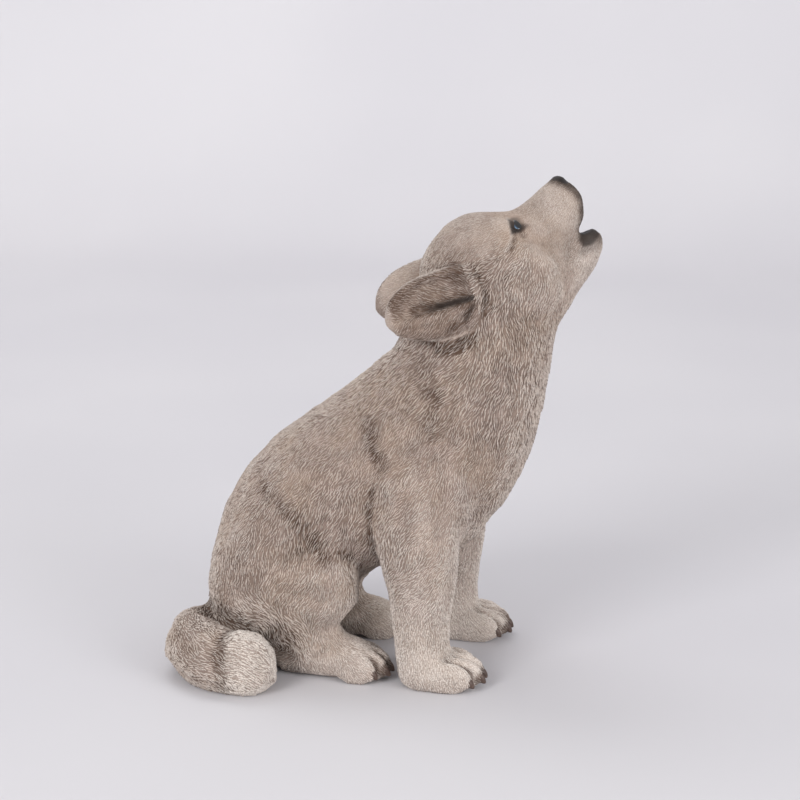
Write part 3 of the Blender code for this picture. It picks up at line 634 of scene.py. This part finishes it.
def ear_masks(points, normals, brush_and_light, wash_and_shade, soot):
    """Pale rims, a darker inside with dark folds, painted shade deep at the root and a painted shadow under
    the upper rim, and a dark patch of wash and painted shadow under each ear.
    """
    zone, place, edge, facing = ear_zone(points, normals)
    inner = (zone != 0) & (facing > -0.2)
    flat = place[:, [0, 2]]
    fold = smooth_step(-line_distance(flat, EAR_MAIN_FOLD), -4.5, -0.8)
    low_fold = smooth_step(-line_distance(flat, EAR_LOW_FOLD), -3.0, -0.6)
    # Painted shade deep in the ear by its root, and a painted shadow under the upper rim inside the ear.
    root = smooth_step(-place[:, 0], -19, -9) * smooth_step(place[:, 2], 2, 8)
    rim = smooth_step(edge, 0.86, 0.95) * smooth_step(place[:, 0], 9, 18)
    rim_shadow = smooth_step(edge, 0.55, 0.85) * smooth_step(place[:, 2], 0, 6)
    deep = 0.42 + 0.18 * rim_shadow + 0.55 * fold + 0.40 * low_fold + 0.35 * root
    wash_and_shade = np.where(inner, np.clip(deep, 0, 1) * (1 - 0.85 * rim), wash_and_shade)
    brush_and_light = np.where(inner, (0.35 + 0.4 * smooth_step(place[:, 2], -2, 6)) * rim, brush_and_light)
    slit = smooth_step(-line_distance(flat, EAR_MAIN_FOLD), -2.2, -0.3) * smooth_step(-place[:, 0], -33, -24)
    notch = smooth_step(-line_distance(flat, EAR_LOW_FOLD[:2]), -1.8, -0.3)
    soot = np.where(inner, np.maximum(0.85 * slit, 0.5 * notch), soot)
    back = (zone != 0) & ~inner
    wash_and_shade = np.where(back, np.maximum(wash_and_shade, 0.45 * smooth_step(edge, 0.82, 0.96)), wash_and_shade)
    # Wash and painted shadow under each ear, where it stands out from the head.
    for side in (1, -1):
        spot = local(ear_matrix(side), points)
        (x, y, z), radii = EAR_SHADOW_SPOT
        patch = ball_distance(spot, (x, side * y, z), radii)
        below = smooth_step(-patch, -1.2, -0.5) * (zone == 0)
        wash_and_shade = np.maximum(wash_and_shade, 0.75 * below)
        brush_and_light = brush_and_light * (1 - 0.8 * below)
    return brush_and_light, wash_and_shade, soot


def paw_masks(points, brush_and_light, wash_and_shade):
    """Pale toes, with dark creases between them of wash and painted shade, painted highlights on the
    knuckles, and dark round the claws.
    """
    for matrix, width, length in paws():
        spot = local(matrix, points)
        x, y, z = spot.T
        pitch = width / MM / TOE_COUNT
        tip = length / MM / 2
        near = smooth_step(-np.abs(y), -width / MM / 2 - 5, -width / MM / 2 - 1)
        near = near * smooth_step(x, tip - 24, tip - 12) * smooth_step(-z, -26, -20)
        # Dark creases where the toes meet are wash and painted shade; the pale knuckles are dry brush and
        # painted highlight.
        phase = np.abs(y / pitch - np.round(y / pitch)) * pitch
        between = smooth_step(-phase, -1.9, -0.3) * (np.abs(y) < pitch * 1.5)
        dark = 0.75 * near * between * smooth_step(x, tip - 13, tip - 7) * smooth_step(-z, -16, -12)
        knuckle = smooth_step(x, tip - 15, tip - 9) * smooth_step(z, 6, 12)
        brush_and_light = brush_and_light + 0.25 * near * (1 - between) * knuckle
        for offset, setback in toe_places():
            claw = (tip - setback - CLAW_SET_IN / MM, offset * pitch, CLAW_HEIGHT / MM)
            gap = np.linalg.norm(spot - np.array(claw), axis=1)
            dark = np.maximum(dark, 0.8 * smooth_step(-gap, -5.5, -3.2))
        wash_and_shade = np.maximum(wash_and_shade, dark)
        brush_and_light = brush_and_light * (1 - dark)
    return brush_and_light, wash_and_shade


def paint_masks(points, normals, cavity):
    """Wash, dry brush and soot at each point, before the strokes add theirs; painted shade and painted light
    are among them.
    """
    body = (points - np.array(CAD_SHIFT)) / MM
    height = body[:, 2]
    wash_and_shade = 0.65 * smooth_step(cavity, 0.25, 1.3)
    brush_and_light = 0.25 * smooth_step(-cavity, 0.15, 0.9)
    # Paler haunches, front legs and lower chest: painted light.
    brush_and_light += 0.28 * smooth_step(-height, -66, -14) * smooth_step(body[:, 0], -84, -48)
    brush_and_light += 0.24 * smooth_step(body[:, 0], -2, 12) * smooth_step(-height, -110, -55)
    brush_and_light += 0.10 * smooth_step(body[:, 0], 50, 75) * smooth_step(-height, -175, -150)
    tuft = ball_distance(body, TAIL_TUFT_PLACE, TAIL_TUFT_RADII)
    cream = smooth_step(-tuft, -1.16, -1.02) * smooth_step(body[:, 0], -76, -69)
    crease = smooth_step(-np.abs(tuft - 1.12), -0.16, -0.04) * smooth_step(-body[:, 0], 66, 71)
    crease *= smooth_step(-body[:, 1], 40, 50)
    brush_and_light = brush_and_light + 0.65 * cream
    wash_and_shade = np.maximum(wash_and_shade, 0.65 * crease)
    line = line_distance(body, TAIL_CREASE)
    wash_and_shade = np.maximum(wash_and_shade, 0.8 * smooth_step(-line, -9, -2) * (1 - cream))
    for side in (1, -1):
        (x, y, z), radii = HOCK_SPOT
        hock = ball_distance(body, (x, side * y, z), radii)
        dark = smooth_step(-hock, -1.15, -0.45)
        wash_and_shade = np.maximum(wash_and_shade, 0.6 * dark)
        brush_and_light = brush_and_light * (1 - 0.7 * dark)
    for corners, reach, strength in FUR_FOLDS:
        fold = line_distance(body[:, [0, 2]], corners)
        flank = smooth_step(np.abs(body[:, 1]), 22, 34)
        wash_and_shade = np.maximum(wash_and_shade, strength * smooth_step(-fold, -reach, 0.0) * flank)
    nape = ball_distance(body, *NAPE_SPOT)
    wash_and_shade = np.maximum(wash_and_shade, 0.5 * smooth_step(-nape, -1.1, -0.5))
    brush_and_light, wash_and_shade = paw_masks(points, brush_and_light, wash_and_shade)
    brush_and_light, wash_and_shade, soot = face_masks(points, brush_and_light, wash_and_shade)
    brush_and_light, wash_and_shade, soot = ear_masks(points, normals, brush_and_light, wash_and_shade, soot)
    return np.clip(wash_and_shade, 0, 1), np.clip(brush_and_light, 0, 1), np.clip(soot, 0, 1)


def scatter(points, normals, triangles, rng):
    """Evenly spread roots of locks, with spacing that follows the stroke sizes."""
    corner = points[triangles]
    cross = np.cross(corner[:, 1] - corner[:, 0], corner[:, 2] - corner[:, 0])
    area = np.linalg.norm(cross, axis=1) / 2
    middle = corner.mean(1)
    _, stroke = comb(middle, unit(cross))
    density = area / (stroke[:, 0] * stroke[:, 1] * MM ** 2) * LOCK_OVERLAP * ROOT_TRIES
    count = int(density.sum())
    chosen = rng.choice(len(triangles), count, p=density / density.sum())
    a, b = rng.random((2, count))
    flip = a + b > 1
    a[flip], b[flip] = 1 - a[flip], 1 - b[flip]
    base = corner[chosen]
    roots = base[:, 0] + (base[:, 1] - base[:, 0]) * a[:, None] + (base[:, 2] - base[:, 0]) * b[:, None]
    reach = np.sqrt(stroke[chosen, 0] * stroke[chosen, 1]) * MM / math.sqrt(LOCK_OVERLAP) * ROOT_GAP
    tree = KDTree(count)
    for index, root in enumerate(roots):
        tree.insert(root, index)
    tree.balance()
    free = np.ones(count, bool)
    kept = []
    for index in range(count):
        if not free[index]:
            continue
        kept.append(index)
        for _, other, _ in tree.find_range(roots[index], reach[index]):
            free[other] = False
    return roots[kept]


def bald(points, normals):
    """Where the casting is smooth: nose, mouth, eyes, ear rims and the flat underside."""
    face = local(head_matrix(), points)
    _, _, soot = paint_masks(points, normals, np.zeros(len(points)))
    result = (soot > 0.55) & (face[:, 0] > 50)
    ridge = line_distance(face[:, [0, 2]], TEMPLE_RIDGE[:5])
    result |= (ridge < 1.1) & (np.abs(face[:, 1]) > 8)
    for side in (1, -1):
        eye = local(eye_matrix(side), points)
        result |= np.linalg.norm(eye, axis=1) < EYE_DIAMETER / MM / 2 + 1.6
    zone, _, edge, _ = ear_zone(points, normals)
    result |= (zone != 0) & (edge > 0.91)
    result |= (points[:, 2] < GROUND_CLEAR) & (normals[:, 2] < -0.5)
    return result


def turned(flows, normals, angles):
    """Flows turned about their normals."""
    side = np.cross(normals, flows)
    return flows * np.cos(angles)[:, None] + side * np.sin(angles)[:, None]


def lock_stations(tree, roots, skin_normals, shares, rng):
    """Points and normals on the skin along each lock, with its stroke sizes in metres."""
    flows, strokes = comb(roots, skin_normals)
    size = np.array([noise.noise_vector(Vector(p) / SWIRL_SIZE) for p in roots])
    coarse = smooth_step(strokes[:, 2], 0.10, 0.5)
    swirl = SWIRL * (0.3 + 0.7 * coarse) * size[:, 0]
    stray = rng.normal(0, LOCK_STRAY, len(roots))
    flows = turned(flows, skin_normals, swirl + stray)
    length = strokes[:, 0] * MM * rng.uniform(1 - LENGTH_SPREAD, 1 + LENGTH_SPREAD, len(roots))
    width = strokes[:, 1] * MM * rng.uniform(1 - WIDTH_SPREAD, 1 + WIDTH_SPREAD, len(roots))
    vary = rng.uniform(1 - LIFT_SPREAD, 1 + LIFT_SPREAD, len(roots))
    lift = strokes[:, 2] * MM * (1 + 0.7 * size[:, 1]) * vary
    bend = rng.normal(0, 0.12, len(roots)) + 0.2 * size[:, 2]
    side = np.cross(skin_normals, flows)
    places, normals = [], []
    for share in shares:
        guess = roots + flows * (share - 0.5) * length[:, None]
        guess += side * (bend * (share - 0.5) ** 2 * length)[:, None]
        hits = [tree.find_nearest(p) for p in guess]
        places.append(np.array([hit[0] for hit in hits]))
        normals.append(np.array([hit[1] for hit in hits]))
    return np.array(places), np.array(normals), flows, width, lift


def lock_piece(name, tree, roots, normals, shades, rng):
    """One mesh of closed locks, each with a root, two ridged sections and a tip."""
    shares, widths, lifts = LOCK_SHAPE
    places, turns, flows, width, lift = lock_stations(tree, roots, normals, shares, rng)
    up = unit(turns * 0.5 + normals[None] * 0.5)
    rows = [places[0] - up[0] * LOCK_SINK]
    for section in (1, 2):
        side = unit(np.cross(up[section], flows)) * (width * widths[section] / 2)[:, None]
        low = places[section] - up[section] * LOCK_SINK
        ridge = places[section] + up[section] * (lift * lifts[section])[:, None]
        rows += [low - side, ridge, low + side]
    rows.append(places[3] + up[3] * (lift * lifts[3])[:, None])
    points = np.stack(rows, 1)
    points = np.clip(points, np.array(cad_box[0]), np.array(cad_box[1]))
    count, per_lock = points.shape[:2]
    corners = np.array(LOCK_FACES)
    loops = (corners.reshape(1, -1) + per_lock * np.arange(count)[:, None]).ravel()
    totals = np.full(count * len(corners), 3)
    mesh = bpy.data.meshes.new(name)
    mesh.vertices.add(count * per_lock)
    mesh.vertices.foreach_set("co", points.ravel())
    mesh.loops.add(len(loops))
    mesh.loops.foreach_set("vertex_index", loops)
    mesh.polygons.add(len(totals))
    starts = np.concatenate([[0], np.cumsum(totals)[:-1]])
    mesh.polygons.foreach_set("loop_start", starts)
    mesh.update(calc_edges=True)
    mesh.shade_smooth()
    wash_and_shade, brush_and_light, soot = (np.repeat(values, per_lock) for values in shades)
    tone = np.repeat(rng.uniform(0, 1, count), per_lock)
    rise = smooth_step(lift, 0.15 * MM, 0.6 * MM)
    strength = np.repeat(FINE_LOCK_PAINT + (1 - FINE_LOCK_PAINT) * rise, per_lock)
    dark = strength * (np.tile(LOCK_GROOVE, count) * GROOVE_WASH + DULL_WASH * (1 - tone) ** 2)
    pale = strength * np.tile(LOCK_CREST, count) * (CREST_BRUSH[0] + CREST_BRUSH[1] * tone)
    set_attribute(mesh, "wash_and_shade", np.clip(wash_and_shade + dark, 0, 1))
    set_attribute(mesh, "brush_and_light", np.clip(brush_and_light + pale, 0, 1))
    set_attribute(mesh, "soot", soot)
    return new_piece(name, mesh)


def add_fur(skin, material, rng):
    points, normals, triangles, edges = mesh_arrays(skin.data)
    depth = relax(points, edges, CAVITY_STEPS) - points
    cavity = (depth * normals).sum(1) / CAVITY_DEPTH
    wash_and_shade, brush_and_light, soot = paint_masks(points, normals, cavity)
    _, strokes = comb(points, normals)
    gaps = GAP_WASH[0] + GAP_WASH[1] * smooth_step(strokes[:, 2], 0.12, 0.6)
    set_attribute(skin.data, "wash_and_shade", np.clip(wash_and_shade + gaps, 0, 1))
    set_attribute(skin.data, "brush_and_light", brush_and_light * (1 - gaps))
    set_attribute(skin.data, "soot", soot)
    tree = BVHTree.FromPolygons(points.tolist(), triangles.tolist())
    roots = scatter(points, normals, triangles, rng)
    hits = [tree.find_nearest(p) for p in roots]
    nearest = triangles[[hit[2] for hit in hits]][:, 0]
    root_normals = normals[nearest]
    keep = ~bald(roots, root_normals)
    roots, root_normals, nearest = roots[keep], root_normals[keep], nearest[keep]
    shades = paint_masks(roots, root_normals, cavity[nearest])
    for name, mine in fur_zones(roots):
        part = [values[mine] for values in shades]
        finish_piece(lock_piece(f"fur_{name}", tree, roots[mine], root_normals[mine], part, rng), material)


def fur_zones(points):
    """Masks that part the fur, on each side: head, neck and chest, back and flanks, legs, tail."""
    face = local(head_matrix(), points)
    body = (points - np.array(CAD_SHIFT)) / MM
    head = (face[:, 0] > -14) & (face[:, 2] > -42)
    chest = ~head & (body[:, 0] > 10) & (body[:, 2] > 90)
    tail = ~head & (body[:, 2] < 34) & ((body[:, 0] < -84) | ((body[:, 1] < -47) & (body[:, 0] < -48)))
    low = ~head & ~chest & ~tail & (body[:, 2] < 60)
    back = ~(head | chest | tail | low)
    left = body[:, 1] > 0
    yield "tail", tail
    for name, zone in (("head", head), ("chest", chest), ("back", back), ("legs", low)):
        yield f"{name}_left", zone & left
        yield f"{name}_right", zone & ~left


def mix_colour(tree, factor, first, second):
    """A colour mixed from two, each a socket or a fixed colour."""
    mix = tree.nodes.new("ShaderNodeMix")
    mix.data_type = "RGBA"
    tree.links.new(factor, mix.inputs["Factor"])
    for name, value in (("A", first), ("B", second)):
        socket = next(s for s in mix.inputs if s.name == name and s.type == "RGBA")
        if isinstance(value, bpy.types.NodeSocket):
            tree.links.new(value, socket)
        else:
            socket.default_value = value
    return next(s for s in mix.outputs if s.type == "RGBA")


def math_node(tree, operation, first, second, clamp=False):
    made = tree.nodes.new("ShaderNodeMath")
    made.operation = operation
    made.use_clamp = clamp
    for socket, value in zip(made.inputs, (first, second)):
        if isinstance(value, bpy.types.NodeSocket):
            tree.links.new(value, socket)
        else:
            socket.default_value = value
    return made.outputs[0]


def noise_socket(tree, coordinates, size, detail=3.0, roughness=0.55):
    """Noise from 0 to 1 whose lumps are about size metres."""
    made = tree.nodes.new("ShaderNodeTexNoise")
    made.inputs["Scale"].default_value = 1 / size
    made.inputs["Detail"].default_value = detail
    made.inputs["Roughness"].default_value = roughness
    tree.links.new(coordinates, made.inputs["Vector"])
    return made.outputs["Fac"]


def ramp(tree, factor, low, high):
    """A factor stretched so that low gives 0 and high gives 1."""
    made = tree.nodes.new("ShaderNodeMapRange")
    made.interpolation_type = "SMOOTHSTEP"
    made.inputs["From Min"].default_value = low
    made.inputs["From Max"].default_value = high
    tree.links.new(factor, made.inputs["Value"])
    return made.outputs["Result"]


def attribute(tree, name):
    made = tree.nodes.new("ShaderNodeAttribute")
    made.attribute_name = name
    return made.outputs["Fac"]


def painted_fur():
    """Grey-brown paint with a dark wash in the grooves and pale dry-brushed crests; the same dark and pale
    colours also paint shade and light.
    """
    material = bpy.data.materials.new("painted_fur")
    material.use_nodes = True
    tree = material.node_tree
    shader = tree.nodes["Principled BSDF"]
    place = tree.nodes.new("ShaderNodeTexCoord").outputs["Object"]
    blotch = noise_socket(tree, place, 26 * MM, 3.0)
    mottle = noise_socket(tree, place, 5 * MM, 4.0)
    grain = noise_socket(tree, place, 0.7 * MM, 2.0)
    base = mix_colour(tree, ramp(tree, blotch, 0.35, 0.68), linear(BASE_PAINT), linear(WARM_PAINT))
    uneven = math_node(tree, "MULTIPLY_ADD", ramp(tree, mottle, 0.2, 0.6), 0.35)
    uneven.node.inputs[2].default_value = 0.65
    wash_and_shade = math_node(tree, "MULTIPLY", attribute(tree, "wash_and_shade"), uneven, True)
    washed = mix_colour(tree, wash_and_shade, base, linear(WASH_AND_SHADE_PAINT))
    brush_and_light = math_node(tree, "MULTIPLY", attribute(tree, "brush_and_light"), ramp(tree, grain, 0.2, 0.6), True)
    brushed = mix_colour(tree, brush_and_light, washed, linear(BRUSH_AND_LIGHT_PAINT))
    sooty = mix_colour(tree, attribute(tree, "soot"), brushed, linear(SOOT_PAINT))
    tree.links.new(sooty, shader.inputs["Base Color"])
    sheen = math_node(tree, "MULTIPLY", attribute(tree, "soot"), -0.22)
    rough = math_node(tree, "MULTIPLY_ADD", mottle, 0.14)
    rough.node.inputs[2].default_value = 0.72
    tree.links.new(math_node(tree, "ADD", rough, sheen, True), shader.inputs["Roughness"])
    bump = tree.nodes.new("ShaderNodeBump")
    bump.inputs["Strength"].default_value = 0.35
    bump.inputs["Distance"].default_value = 0.12 * MM
    tree.links.new(grain, bump.inputs["Height"])
    tree.links.new(bump.outputs["Normal"], shader.inputs["Normal"])
    shader.inputs["Specular IOR Level"].default_value = 0.35
    return material


def glazed_eye():
    """Dark pupil, blue-grey iris with a painted blue-white glint, and a dark rim under gloss that is partly
    painted lid shadow.
    """
    material = bpy.data.materials.new("glazed_eye")
    material.use_nodes = True
    tree = material.node_tree
    shader = tree.nodes["Principled BSDF"]
    place = tree.nodes.new("ShaderNodeTexCoord").outputs["Object"]
    streaks = noise_socket(tree, place, 0.6 * MM, 3.0)
    ring = math_node(tree, "MULTIPLY_ADD", streaks, 0.05)
    tree.links.new(attribute(tree, "iris"), ring.node.inputs[2])
    colours = tree.nodes.new("ShaderNodeValToRGB")
    stops = colours.color_ramp.elements
    for stop, (position, colour) in zip(stops, IRIS_GLINT_AND_LID_SHADE_PAINTS[:2]):
        stop.position = position
        stop.color = linear(colour)
    for position, colour in IRIS_GLINT_AND_LID_SHADE_PAINTS[2:]:
        stops.new(position).color = linear(colour)
    tree.links.new(ring, colours.inputs["Fac"])
    tree.links.new(colours.outputs["Color"], shader.inputs["Base Color"])
    shader.inputs["Roughness"].default_value = 0.12
    shader.inputs["Coat Weight"].default_value = 1.0
    shader.inputs["Coat Roughness"].default_value = 0.03
    return material


def dark_claw():
    """Brown-black satin paint, worn paler in patches."""
    material = bpy.data.materials.new("dark_claw")
    material.use_nodes = True
    tree = material.node_tree
    shader = tree.nodes["Principled BSDF"]
    place = tree.nodes.new("ShaderNodeTexCoord").outputs["Object"]
    worn = ramp(tree, noise_socket(tree, place, 1.2 * MM, 3.0), 0.5, 0.75)
    colour = mix_colour(tree, worn, linear(CLAW_PAINT), linear(CLAW_WORN_PAINT))
    tree.links.new(colour, shader.inputs["Base Color"])
    shader.inputs["Roughness"].default_value = 0.48
    return material


def add_eyes(material):
    for side, name in ((-1, "eye_right"), (1, "eye_left")):
        bm = bmesh.new()
        around, along = EYE_SEGMENTS
        radius = EYE_DIAMETER / 2 + EYE_GLAZE
        bmesh.ops.create_uvsphere(bm, u_segments=around, v_segments=along, radius=radius)
        bm.transform(Matrix.Rotation(math.pi / 2, 4, "X"))
        gaze = Vector((GAZE[0], GAZE[1] * side, GAZE[2]))
        iris = [v.co.angle(gaze) / (math.pi / 2) for v in bm.verts]
        bm.transform(eye_matrix(side))
        mesh = bpy.data.meshes.new(name)
        bm.to_mesh(mesh)
        bm.free()
        mesh.shade_smooth()
        set_attribute(mesh, "iris", np.array(iris))
        finish_piece(new_piece(name, mesh), material)


def add_claws(material):
    """Short blunt claws, one at the front of each toe."""
    bm = bmesh.new()
    for place, width, length in paws():
        for offset, setback in toe_places():
            around, along = CLAW_SEGMENTS
            claw = bmesh.ops.create_uvsphere(bm, u_segments=around, v_segments=along, radius=1.0)["verts"]
            middle = (length / 2 - setback - CLAW_SET_IN, offset * width / TOE_COUNT, CLAW_HEIGHT)
            turn = place @ Matrix.Translation(middle) @ Matrix.Rotation(CLAW_DROOP, 4, "Y")
            for vertex in claw:
                x, y, z = vertex.co
                taper = 1.0 - CLAW_TAPER * x
                shape = Vector((x, y * taper, z * taper)) * Vector(CLAW_RADII)
                vertex.co = turn @ shape
                vertex.co.z = max(vertex.co.z, 0.0)
    mesh = bpy.data.meshes.new("claws")
    bm.to_mesh(mesh)
    bm.free()
    mesh.shade_smooth()
    finish_piece(new_piece("claws", mesh), material)


def studio():
    """Seamless pale paper, three soft lamps and even room light."""
    bm = bmesh.new()
    profile = [(PAPER_FRONT, 0.0)]
    for step in range(PAPER_BEND_STEPS + 1):
        angle = math.pi / 2 * step / PAPER_BEND_STEPS
        y = PAPER_BACK - PAPER_BEND * (1 - math.sin(angle))
        profile.append((y, PAPER_BEND * (1 - math.cos(angle))))
    profile.append((PAPER_BACK, PAPER_HEIGHT))
    sides = (-PAPER_HALF_WIDTH, PAPER_HALF_WIDTH)
    rows = [[bm.verts.new((x, y, z)) for y, z in profile] for x in sides]
    for i in range(len(profile) - 1):
        bm.faces.new((rows[0][i], rows[1][i], rows[1][i + 1], rows[0][i + 1]))
    mesh = bpy.data.meshes.new("paper")
    bm.to_mesh(mesh)
    bm.free()
    mesh.shade_smooth()
    paper = new_piece("paper", mesh)
    material = bpy.data.materials.new("paper")
    material.use_nodes = True
    tree = material.node_tree
    shader = tree.nodes["Principled BSDF"]
    place = tree.nodes.new("ShaderNodeTexCoord").outputs["Object"]
    cloud = ramp(tree, noise_socket(tree, place, 0.5, 2.0), 0.3, 0.7)
    shade = mix_colour(tree, cloud, linear(PAPER_PAINT), linear(PAPER_CLOUD_PAINT))
    tree.links.new(shade, shader.inputs["Base Color"])
    shader.inputs["Roughness"].default_value = 0.9
    mesh.materials.append(material)
    world = bpy.data.worlds.new("room")
    world.use_nodes = True
    light = world.node_tree.nodes["Background"]
    light.inputs["Color"].default_value = ROOM_COLOUR
    light.inputs["Strength"].default_value = ROOM_STRENGTH
    bpy.context.scene.world = world
    for name, place, target, size, watts in LAMPS:
        lamp = bpy.data.lights.new(name, "AREA")
        lamp.shape = "DISK"
        lamp.size = size
        lamp.energy = watts
        holder = bpy.data.objects.new(name, lamp)
        holder.location = place
        holder.rotation_euler = (Vector(target) - Vector(place)).to_track_quat("-Z", "Y").to_euler()
        bpy.context.scene.collection.objects.link(holder)


def photo_camera():
    data = bpy.data.cameras.new("photo")
    data.lens = CAMERA_LENS
    data.sensor_width = CAMERA_SENSOR
    data.clip_start = 0.05
    data.clip_end = 20.0
    camera = bpy.data.objects.new("photo", data)
    back = Vector((math.sin(CAMERA_AZIMUTH), -math.cos(CAMERA_AZIMUTH), 0.0)) * CAMERA_DISTANCE
    target = CAMERA_TARGET + CAD_SHIFT
    camera.location = Vector((target.x + back.x, target.y + back.y, CAMERA_HEIGHT))
    camera.rotation_euler = (target - camera.location).to_track_quat("-Z", "Y").to_euler()
    bpy.context.scene.collection.objects.link(camera)
    bpy.context.scene.camera = camera


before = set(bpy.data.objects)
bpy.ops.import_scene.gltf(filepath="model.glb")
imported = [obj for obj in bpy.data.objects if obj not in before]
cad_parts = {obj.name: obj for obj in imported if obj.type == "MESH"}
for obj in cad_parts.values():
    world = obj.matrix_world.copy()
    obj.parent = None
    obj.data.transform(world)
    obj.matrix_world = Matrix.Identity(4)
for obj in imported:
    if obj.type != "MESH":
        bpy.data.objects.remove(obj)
cad_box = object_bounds()
guides = comb_guides()
rng = np.random.default_rng(SEED)
noise.seed_set(SEED)
photo_camera()
studio()
fur = painted_fur()
casting = fine_skin()
add_fur(casting, fur, rng)
finish_piece(casting, fur)
add_eyes(glazed_eye())
add_claws(dark_claw())
bpy.context.scene.view_settings.view_transform = "Standard"
